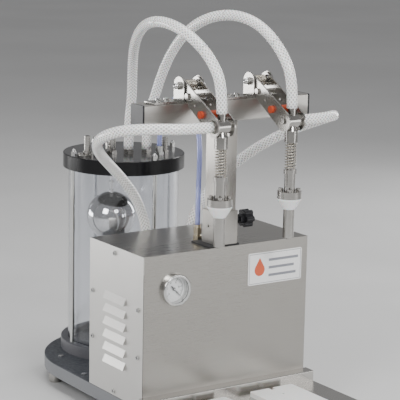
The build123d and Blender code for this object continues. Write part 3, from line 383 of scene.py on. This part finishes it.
# Each row: darker colour, lighter colour, roughness, bump, then dust and smudge scale if any
PLASTICS = {
    "gloss_black": (
        (0.006, 0.006, 0.007), (0.012, 0.012, 0.013), (0.1, 0.18),
        0.01, 0.15, 12.0,
    ),
    "satin_black": ((0.01, 0.01, 0.012), (0.02, 0.02, 0.023), (0.3, 0.42), 0.08, 0.1, 12.0),
    "rubber_black": ((0.01, 0.01, 0.011), (0.022, 0.022, 0.024), (0.5, 0.7), 0.2, 0.2),
    "white_plastic": ((0.78, 0.78, 0.765), (0.86, 0.86, 0.845), (0.38, 0.55), 0.15, 0.0, 12.0),
    "white_silicone": ((0.84, 0.84, 0.835), (0.92, 0.92, 0.915), (0.3, 0.45), 0.08, 0.0, 30.0),
    "orange_rubber": ((0.42, 0.045, 0.012), (0.6, 0.085, 0.025), (0.35, 0.5), 0.15),
    "rocker_red": ((0.42, 0.02, 0.015), (0.52, 0.03, 0.02), (0.18, 0.28), 0.04),
    "plate_face": ((0.88, 0.88, 0.88), (0.94, 0.94, 0.94), (0.2, 0.32), 0.02),
    "dial_enamel": ((0.92, 0.93, 0.94), (0.97, 0.98, 0.98), (0.4, 0.5), 0.02),
    # black for print and the needle, also used for the painted shade in the panel gap and the
    # screw recesses
    "ink_and_shade_black": ((0.008, 0.008, 0.01), (0.018, 0.018, 0.02), (0.4, 0.5), 0.02),
    "ink_orange": ((0.6, 0.09, 0.03), (0.68, 0.12, 0.045), (0.3, 0.4), 0.02),
    "ink_grey": ((0.2, 0.21, 0.24), (0.28, 0.29, 0.32), (0.3, 0.4), 0.02),
    "blue_tubing": ((0.36, 0.4, 0.78), (0.5, 0.54, 0.88), (0.12, 0.22), 0.02, 0.0, 30.0),
    "lens_glass": ((0.9, 0.92, 0.93), (0.95, 0.96, 0.97), (0.02, 0.06), 0.0, 0.0, 20.0),
}

PLASTIC_SOCKETS = {
    "gloss_black": {"Specular_IOR_Level": 0.2},
    "satin_black": {"Specular_IOR_Level": 0.3},
    "white_plastic": {"Subsurface_Weight": 0.1, "Subsurface_Scale": 0.004},
    "white_silicone": {"Subsurface_Weight": 0.2, "Subsurface_Scale": 0.004},
    "blue_tubing": {"Transmission_Weight": 0.45, "IOR": 1.5},
    "lens_glass": {"Alpha": 0.05},
}

FINISHES = {name: metal(name, *row) for name, row in METALS.items()}
FINISHES.update({name: slab_finish(name, *row) for name, row in SLABS.items()})
for name, row in PLASTICS.items():
    FINISHES[name] = moulded(name, *row, **PLASTIC_SOCKETS.get(name, {}))
FINISHES["clear_acrylic"] = clear("clear_acrylic", (0.88, 0.895, 0.93), (0.01, 0.05), 1.49)
FINISHES["braided_hose"] = braided_hose()

NODE_FINISH = {
    "base_plate": "base_slab", "base_feet": "turned_steel", "drip_tray": "tray_steel",
    "bottle_pads": "white_plastic", "housing_shell": "housing_steel", "side_cover": "cover_steel",
    "housing_screws": "plated_steel", "name_plate": "plate_face", "gauge_case": "plated_steel",
    "gauge_dial": "dial_enamel", "gauge_lens": "lens_glass", "gauge_needle": "ink_and_shade_black",
    "socket_pad": "rubber_black", "post_socket": "post_steel", "clamp_knob": "satin_black",
    "post": "post_steel", "crossbar": "bar_steel", "bar_end_caps": "satin_black",
    "arm_brackets": "plate_steel", "bracket_fasteners": "plated_steel", "vessel_ring": "ring_slab",
    "vessel_tube": "clear_acrylic", "vessel_seals": "rubber_black", "vessel_lid": "gloss_black",
    "tie_rods": "plated_steel", "lid_port": "turned_steel", "float_valve_body": "turned_steel",
    "valve_lever": "plate_steel", "float_ball": "mirror_steel", "hose_tails": "plate_steel",
    "tube_fitting": "plated_steel", "relief_valve": "turned_steel", "port_fitting": "nickel_brass",
    "product_manifold": "plate_steel", "pump_head": "cast_metal", "motor_body": "cast_metal",
    "motor_rotor": "cast_metal", "power_module": "satin_black", "rocker": "rocker_red",
    "blue_tube": "blue_tubing",
}
SIDED_FINISH = {
    "arm": "plate_steel", "arm_bumper": "orange_rubber", "arm_spring": "spring_wire",
    "head_block": "turned_steel", "inner_tube": "turned_steel", "nozzle_spring": "spring_wire",
    "nozzle_sleeve": "turned_steel", "sealing_cone": "white_silicone",
    "vacuum_hose": "braided_hose", "product_hose": "braided_hose",
}
for part, finish in SIDED_FINISH.items():
    for side in ("left", "right"):
        NODE_FINISH[f"{part}_{side}"] = finish


def dress(thing, finish):
    """Gives a piece or a carried-over node one finish in every slot."""
    if not thing.data.materials:
        thing.data.materials.append(FINISHES[finish])
    for slot in thing.material_slots:
        slot.material = FINISHES[finish]


for node, finish in NODE_FINISH.items():
    dress(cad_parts[node], finish)

# ------------------------------------------------------------------- pieces


def piece_from(name, mesh, finish, body):
    """Links a finished mesh as a piece. It rides on the body, unless that is None."""
    piece = bpy.data.objects.new(name, mesh)
    bpy.context.collection.objects.link(piece)
    dress(piece, finish)
    if body:
        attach(piece, body)
    return piece


def slab(shape, outline, y_back, y_front):
    """Adds a thin upright prism to a bmesh, from an outline in X and Z."""
    back = [shape.verts.new((x, y_back, z)) for x, z in outline]
    front = [shape.verts.new((x, y_front, z)) for x, z in outline]
    shape.faces.new(front)
    shape.faces.new(back[::-1])
    count = len(outline)
    for i in range(count):
        j = (i + 1) % count
        shape.faces.new((back[i], back[j], front[j], front[i]))


def finish_mesh(name, shape):
    """Turns a bmesh into a mesh with its normals outwards."""
    bmesh.ops.recalc_face_normals(shape, faces=shape.faces)
    mesh = bpy.data.meshes.new(name)
    shape.to_mesh(mesh)
    shape.free()
    return mesh


def add_small_piece(name, shape, finish):
    """Turns a bmesh into a piece that rides on the frame."""
    piece_from(name, finish_mesh(name, shape), finish, "frame")


def turned_outline(centre, angle, points):
    """Turns points about a centre, the angle counted clockwise from straight up."""
    cx, cz = centre
    c, s = cos(angle), sin(angle)
    return [(cx + x * c + z * s, cz - x * s + z * c) for x, z in points]


DIAL_CENTRE = (-94.3 * MM, 219.8 * MM)
DIAL_FACE = -126.0 * MM
SCALE_R = 16.6 * MM
ARC_OUTER_R = 16.95 * MM
NUMBER_R = 10.0 * MM
SCALE_SPAN = radians(135)
SCALE_STEPS = 50
ARC_STEPS = 60
# Length and half width of each kind of mark
LONG_MARK = (4.2 * MM, 0.32 * MM)
MID_MARK = (3.0 * MM, 0.2 * MM)
SHORT_MARK = (1.9 * MM, 0.12 * MM)


def on_dial(angle, radius):
    """The X and Z of a point on the dial, the angle counted clockwise from straight up."""
    return DIAL_CENTRE[0] + radius * sin(angle), DIAL_CENTRE[1] + radius * cos(angle)


def add_dial_marks():
    """Long and short scale marks, and an arc that joins their outer ends."""
    shape = bmesh.new()
    for i in range(SCALE_STEPS + 1):
        angle = -SCALE_SPAN + 2 * SCALE_SPAN * i / SCALE_STEPS
        length, half = LONG_MARK if i % 10 == 0 else MID_MARK if i % 5 == 0 else SHORT_MARK
        inner = SCALE_R - length
        box = [(-half, inner), (half, inner), (half, SCALE_R), (-half, SCALE_R)]
        outline = turned_outline(DIAL_CENTRE, angle, box)
        slab(shape, outline, DIAL_FACE, DIAL_FACE - 0.1 * MM)
    for i in range(ARC_STEPS):
        first, last = (-SCALE_SPAN + 2 * SCALE_SPAN * (i + k) / ARC_STEPS for k in (0, 1))
        corners = (first, SCALE_R), (last, SCALE_R), (last, ARC_OUTER_R), (first, ARC_OUTER_R)
        ring = [on_dial(angle, radius) for angle, radius in corners]
        slab(shape, ring, DIAL_FACE, DIAL_FACE - 0.08 * MM)
    add_small_piece("dial_marks", shape, "ink_and_shade_black")


def add_dial_numbers():
    """Plain numbers inside the long marks, from full vacuum to atmosphere."""
    for i, words in enumerate(("0", "2", "4", "6", "8", "10")):
        angle = -SCALE_SPAN + 2 * SCALE_SPAN * i / 5
        text = bpy.data.curves.new(f"dial_number_{words}", "FONT")
        text.body = words
        text.size = 4.2 * MM
        text.align_x = "CENTER"
        text.align_y = "CENTER"
        text.extrude = 0.04 * MM
        number = bpy.data.objects.new(f"dial_number_{words}", text)
        x, z = on_dial(angle, NUMBER_R)
        number.location = (x, DIAL_FACE - 0.06 * MM, z)
        number.rotation_euler = (pi / 2, 0, 0)
        bpy.context.collection.objects.link(number)
        text.materials.append(FINISHES["ink_and_shade_black"])
        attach(number, "frame")


PLATE_FACE = -131.8 * MM
INK = 0.12 * MM


def add_plate_art():
    """A plain mark for the plate: one falling drop beside three level bars."""
    cx, cz, radius = 59 * MM, 231 * MM, 9.5 * MM
    rim = [(cx + radius * sin(a), cz - radius * cos(a)) for a in np.linspace(-2.2, 2.2, 29)]
    shape = bmesh.new()
    slab(shape, rim + [(cx, cz + 19 * MM)], PLATE_FACE, PLATE_FACE - INK)
    add_small_piece("plate_drop", shape, "ink_orange")
    shape = bmesh.new()
    for low, high, end in ((243, 247, 132), (231, 235, 124), (219, 223, 128)):
        bar = [(x * MM, z * MM) for x, z in ((76, low), (end, low), (end, high), (76, high))]
        slab(shape, bar, PLATE_FACE, PLATE_FACE - INK)
    left, right, low, high, line = 39.5 * MM, 137 * MM, 209.8 * MM, 256.4 * MM, 0.7 * MM
    for x0, x1, z0, z1 in (
        (left, right, low, low + line), (left, right, high - line, high),
        (left, left + line, low, high), (right - line, right, low, high),
    ):
        edge = [(x0, z0), (x1, z0), (x1, z1), (x0, z1)]
        slab(shape, edge, PLATE_FACE, PLATE_FACE - INK)
    add_small_piece("plate_lines", shape, "ink_grey")


PANEL_FACE = -131.0 * MM


def add_panel_gap_shadow():
    """A painted shadow: a thin black strip on the front panel beside its left edge, standing for
    the shade in the dark gap where the cover folds over.
    """
    shape = bmesh.new()
    left, right, low, high = -149.3 * MM, -148.6 * MM, 44.5 * MM, 248 * MM
    outline = [(left, low), (right, low), (right, high), (left, high)]
    slab(shape, outline, PANEL_FACE, PANEL_FACE - 0.05 * MM)
    add_small_piece("panel_gap_shadow", shape, "ink_and_shade_black")


COVER_FACE = -152.2 * MM
COVER_SCREWS = [(-51, 264.7), (13, 193.5), (13, 121), (-118.6, 192.5), (-118.6, 120), (-51, 50)]


def add_screw_recess_shadows():
    """Painted shade: thin black crosses, each turned its own way, on the cover's screw heads,
    standing for the shadow in their cross recesses.
    """
    shape = bmesh.new()
    for i, (y, z) in enumerate(COVER_SCREWS):
        for turn in (0, pi / 2):
            angle = 0.4 + 1.1 * i + turn
            c, s = cos(angle), sin(angle)
            corners = []
            for a, b in ((-2.6, -0.6), (2.6, -0.6), (2.6, 0.6), (-2.6, 0.6)):
                corners.append(((y + a * c - b * s) * MM, (z + a * s + b * c) * MM))
            low = [shape.verts.new((COVER_FACE, cy, cz)) for cy, cz in corners]
            high = [shape.verts.new((COVER_FACE - 0.06 * MM, cy, cz)) for cy, cz in corners]
            shape.faces.new(high)
            shape.faces.new(low[::-1])
            for k in range(4):
                shape.faces.new((low[k], low[(k + 1) % 4], high[(k + 1) % 4], high[k]))
    add_small_piece("screw_recess_shadows", shape, "ink_and_shade_black")


add_dial_marks()


def add_closing_spring(side):
    """The nozzle spring, copied into place as a fixed piece on no body; the real spring shortens
    as the sleeve slides up on the head.
    """
    node = f"nozzle_spring_{side}"
    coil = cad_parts[node]
    mesh = coil.data.copy()
    mesh.transform(coil.matrix_world)
    piece = piece_from(f"closing_spring_{side}", mesh, "spring_wire", None)
    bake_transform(piece)
    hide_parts(node)


add_closing_spring("left")
add_closing_spring("right")
add_dial_numbers()
add_plate_art()
add_panel_gap_shadow()
add_screw_recess_shadows()

# -------------------------------------------------------------------- hoses

ROUTES = {
    "vacuum_hose_left": [
        (-62.5, -196, 488.5), (-62.5, -196, 529), (-69, -174, 567), (-79, -137, 595),
        (-84, -95, 608), (-84, -51, 609), (-76, -8, 599), (-63, 31, 582), (-48, 66, 561),
        (-31, 98, 535), (-15, 125, 503), (-3, 145, 465), (-1, 157, 422), (-1, 157, 379),
    ],
    "vacuum_hose_right": [
        (62.5, -196, 488.5), (62.5, -196, 533), (56, -173, 573), (46, -137, 605),
        (36, -93, 617), (27, -47, 613), (23, -3, 598), (23, 37, 575), (25, 73, 545),
        (28, 103, 510), (30, 127, 470), (27, 146.5, 425), (27, 146.5, 379),
    ],
    "product_hose_left": [
        (-80.5, -196, 470), (-123, -196, 470), (-164, -177, 471), (-192, -139, 466),
        (-199, -96, 452), (-188, -57, 434), (-163, -25, 412), (-131, -3, 388),
        (-98, 13, 361), (-68, 25, 329), (-46, 34, 290), (-34, 40, 246), (-29, 42, 201),
        (-26, 42, 155), (-27, 40, 120), (-27, 40, 90),
    ],
    "product_hose_right": [
        (80.5, -196, 470), (120, -196, 470), (156, -180, 470), (177, -147, 463),
        (174, -112, 450), (155, -82, 436), (132, -55, 417), (110, -28, 394), (89, 2, 363),
        (69, 24, 330), (51, 38, 290), (38, 43, 246), (32, 42, 201), (28, 41, 155),
        (30, 40, 120), (30, 40, 90),
    ],
    "blue_tube": [
        (-16, -71, 298.5), (-16, -71, 330), (-8, -60, 362), (4, -44, 393), (15, -26, 420),
        (25, -4, 444), (32, 22, 464), (35, 50, 475), (33, 76, 470), (28, 94, 450),
        (26, 106, 420), (26, 106, 390),
    ],
}
HOSE_LENGTH = {
    "vacuum_hose_left": 0.572, "vacuum_hose_right": 0.558, "product_hose_left": 0.652,
    "product_hose_right": 0.613, "blue_tube": 0.349,
}
HOSE_D = 0.016
BLUE_D = 0.008
# Where a hose passes from one moving body to the next
HEAD_STRETCH = 0.101
ARM_SHARE = {"vacuum": 0.375, "product": 0.36}


def smooth_line(name):
    """The points of a hose's smooth centreline, from a NURBS curve through its route."""
    curve = bpy.data.curves.new(f"{name}_line", "CURVE")
    curve.dimensions = "3D"
    curve.resolution_u = 10
    spline = curve.splines.new("NURBS")
    route = ROUTES[name]
    spline.points.add(len(route) - 1)
    for control, place in zip(spline.points, route):
        control.co = (*(part * MM for part in place), 1)
    spline.order_u = 3
    spline.use_endpoint_u = True
    carrier = bpy.data.objects.new(f"{name}_line", curve)
    mesh = bpy.data.meshes.new_from_object(carrier)
    found = [vertex.co.copy() for vertex in mesh.vertices]
    bpy.data.objects.remove(carrier)
    bpy.data.curves.remove(curve)
    bpy.data.meshes.remove(mesh)
    return found


def frames_along(line):
    """A pair of cross directions at each point that turns as little as it can."""
    tangents = []
    for i in range(len(line)):
        before, after = line[max(i - 1, 0)], line[min(i + 1, len(line) - 1)]
        tangents.append((after - before).normalized())
    side = tangents[0].orthogonal().normalized()
    frames = []
    for tangent in tangents:
        side = (side - tangent * side.dot(tangent)).normalized()
        frames.append((side, tangent.cross(side)))
    return frames


def hose_mesh(name, line, frames, run, radius, rim=28):
    """A capped tube with its unrolled coordinates: turns round, metres along."""
    shape = bmesh.new()
    unrolled = shape.loops.layers.uv.new("unrolled")
    rings = []
    for centre, (a, b) in zip(line, frames):
        ring = []
        for k in range(rim):
            angle = 2 * pi * k / rim
            ring.append(shape.verts.new(centre + radius * (cos(angle) * a + sin(angle) * b)))
        rings.append(ring)
    for i in range(len(rings) - 1):
        for k in range(rim):
            n = (k + 1) % rim
            face = shape.faces.new((rings[i][k], rings[i][n], rings[i + 1][n], rings[i + 1][k]))
            face.smooth = True
            for loop, (turn, step) in zip(face.loops, ((k, 0), (k + 1, 0), (k + 1, 1), (k, 1))):
                loop[unrolled].uv = (turn / rim, run[i + step])
    shape.faces.new(rings[0][::-1])
    shape.faces.new(rings[-1])
    mesh = bpy.data.meshes.new(name)
    shape.to_mesh(mesh)
    shape.free()
    return mesh


def add_hose(name, cuts, bodies, diameter, finish):
    """A hose cut into stretches that cross one joint each; a stretch whose ends ride on one body
    is attached to it, and the others stay fixed where they lie.

    bodies names what each stretch's ends ride on and its label; the part of it that bends, its
    last entry, is not used.
    """
    line = smooth_line(name)
    frames = frames_along(line)
    run = [0.0]
    for a, b in zip(line, line[1:]):
        run.append(run[-1] + (b - a).length)
    marks = [0] + [min(range(len(run)), key=lambda i: abs(run[i] - cut * run[-1])) for cut in cuts]
    marks.append(len(run) - 1)
    for first, last, (near, far, label, bend) in zip(marks, marks[1:], bodies):
        part = slice(first, last + 1)
        title = f"{name}_{label}" if label else name + "_run"
        mesh = hose_mesh(title, line[part], frames[part], run[part], diameter / 2)
        piece = bpy.data.objects.new(title, mesh)
        bpy.context.collection.objects.link(piece)
        dress(piece, finish)
        if near == far:
            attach(piece, near)
        else:
            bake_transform(piece)
        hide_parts(name)


for side in ("left", "right"):
    arm, head = f"arm_{side}", f"head_{side}"
    name = f"vacuum_hose_{side}"
    add_hose(
        name, (HEAD_STRETCH / HOSE_LENGTH[name], ARM_SHARE["vacuum"]),
        (
            (head, arm, "head_end", (0.05, 0.55)), (arm, "mast", "arch", (0.06, 0.94)),
            ("mast", "frame", "vessel_end", (0.12, 0.88)),
        ),
        HOSE_D, "braided_hose",
    )
    add_hose(
        f"product_hose_{side}", (ARM_SHARE["product"],),
        ((arm, "mast", "head_end", (0.08, 0.92)), ("mast", "frame", "manifold_end", (0.1, 0.9))),
        HOSE_D, "braided_hose",
    )
add_hose("blue_tube", (), (("frame", "frame", "", None),), BLUE_D, "blue_tubing")

# ----------------------------------------------------------- floor and light


def add_floor():
    """A wide pale round floor."""
    shape = bmesh.new()
    bmesh.ops.create_circle(shape, cap_ends=True, segments=96, radius=9)
    floor = bpy.data.objects.new("floor", finish_mesh("floor", shape))
    bpy.context.collection.objects.link(floor)
    material, tree, shader = start_material("pale_floor")
    grain = place_group(tree, GRAIN, Stretch=(6, 6, 6), Smudge_Scale=1.5)
    colour = mix_colours(tree, grain["Smudge"], (0.62, 0.62, 0.615), (0.66, 0.66, 0.655))
    tree.links.new(colour, shader.inputs["Base Color"])
    tree.links.new(remap(tree, grain["Grain"], 0, 1, 0.55, 0.7), shader.inputs["Roughness"])
    floor.data.materials.append(material)


def add_light(name, place, aim, size, power):
    """A square soft light that faces a point on the machine."""
    data = bpy.data.lights.new(name, "AREA")
    data.shape = "RECTANGLE"
    data.size, data.size_y = size
    data.energy = power
    light = bpy.data.objects.new(name, data)
    light.location = place
    light.rotation_euler = (Vector(aim) - Vector(place)).to_track_quat("-Z", "Y").to_euler()
    bpy.context.collection.objects.link(light)


def add_surroundings():
    """An even pale sky behind the soft lights."""
    world = bpy.data.worlds.new("studio")
    world.use_nodes = True
    shader = world.node_tree.nodes["Background"]
    shader.inputs["Color"].default_value = (0.79, 0.79, 0.8, 1)
    shader.inputs["Strength"].default_value = 0.42
    bpy.context.scene.world = world


add_floor()
add_surroundings()
# Each row: name, place, the point it faces, size and power
LIGHTS = (
    ("cover_light", (-1.6, 2.0, 0.24), (-0.15, -0.05, 0.1), (1.8, 0.42), 24),
    ("left_light", (-2.0, -0.9, 1.5), (0, 0, 0.3), (1.0, 1.0), 30),
    ("front_light", (1.3, -2.0, 0.45), (0, -0.13, 0.1), (1.0, 0.7), 8),
    ("key_light", (-0.3, -2.3, 1.7), (0, 0, 0.25), (0.7, 0.7), 34),
    ("top_light", (0.1, 0.0, 2.3), (0, 0, 0.2), (1.5, 1.5), 30),
    ("right_light", (2.0, 0.6, 0.9), (0, 0, 0.3), (0.5, 1.5), 16),
)
for row in LIGHTS:
    add_light(*row)

bpy.context.view_layer.update()
